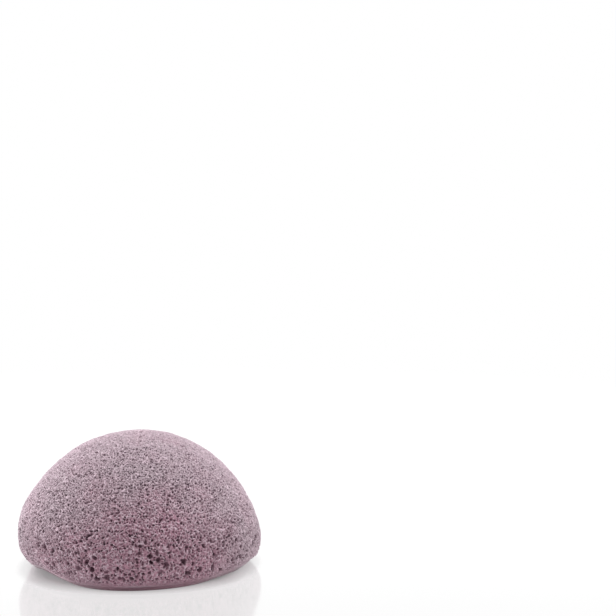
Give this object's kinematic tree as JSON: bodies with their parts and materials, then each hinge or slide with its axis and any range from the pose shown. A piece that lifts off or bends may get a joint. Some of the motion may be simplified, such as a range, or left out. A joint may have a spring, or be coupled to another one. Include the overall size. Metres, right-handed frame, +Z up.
{
  "type": "konjac sponge",
  "caption": "Half-ball facial sponge of open-cell konjac foam with a closed flat base; held in the palm, wetted and rubbed over the skin to cleanse it.",
  "frame": {"origin": "centre of the flat base, on the surface that the sponge rests on", "axes": "+Z up through the crown, along the axis that the half ball is turned about; X and Y are alike"},
  "size_m": [0.08, 0.08, 0.044],
  "materials": {
    "open_cell_foam": "matte mauve open-cell konjac foam",
    "closed_skin": "matte mauve closed foam skin with fine pores"
  },
  "bodies": {
    "root": {"open_cell_dome": "open_cell_foam", "base_skin": "closed_skin"}
  },
  "joints": []
}
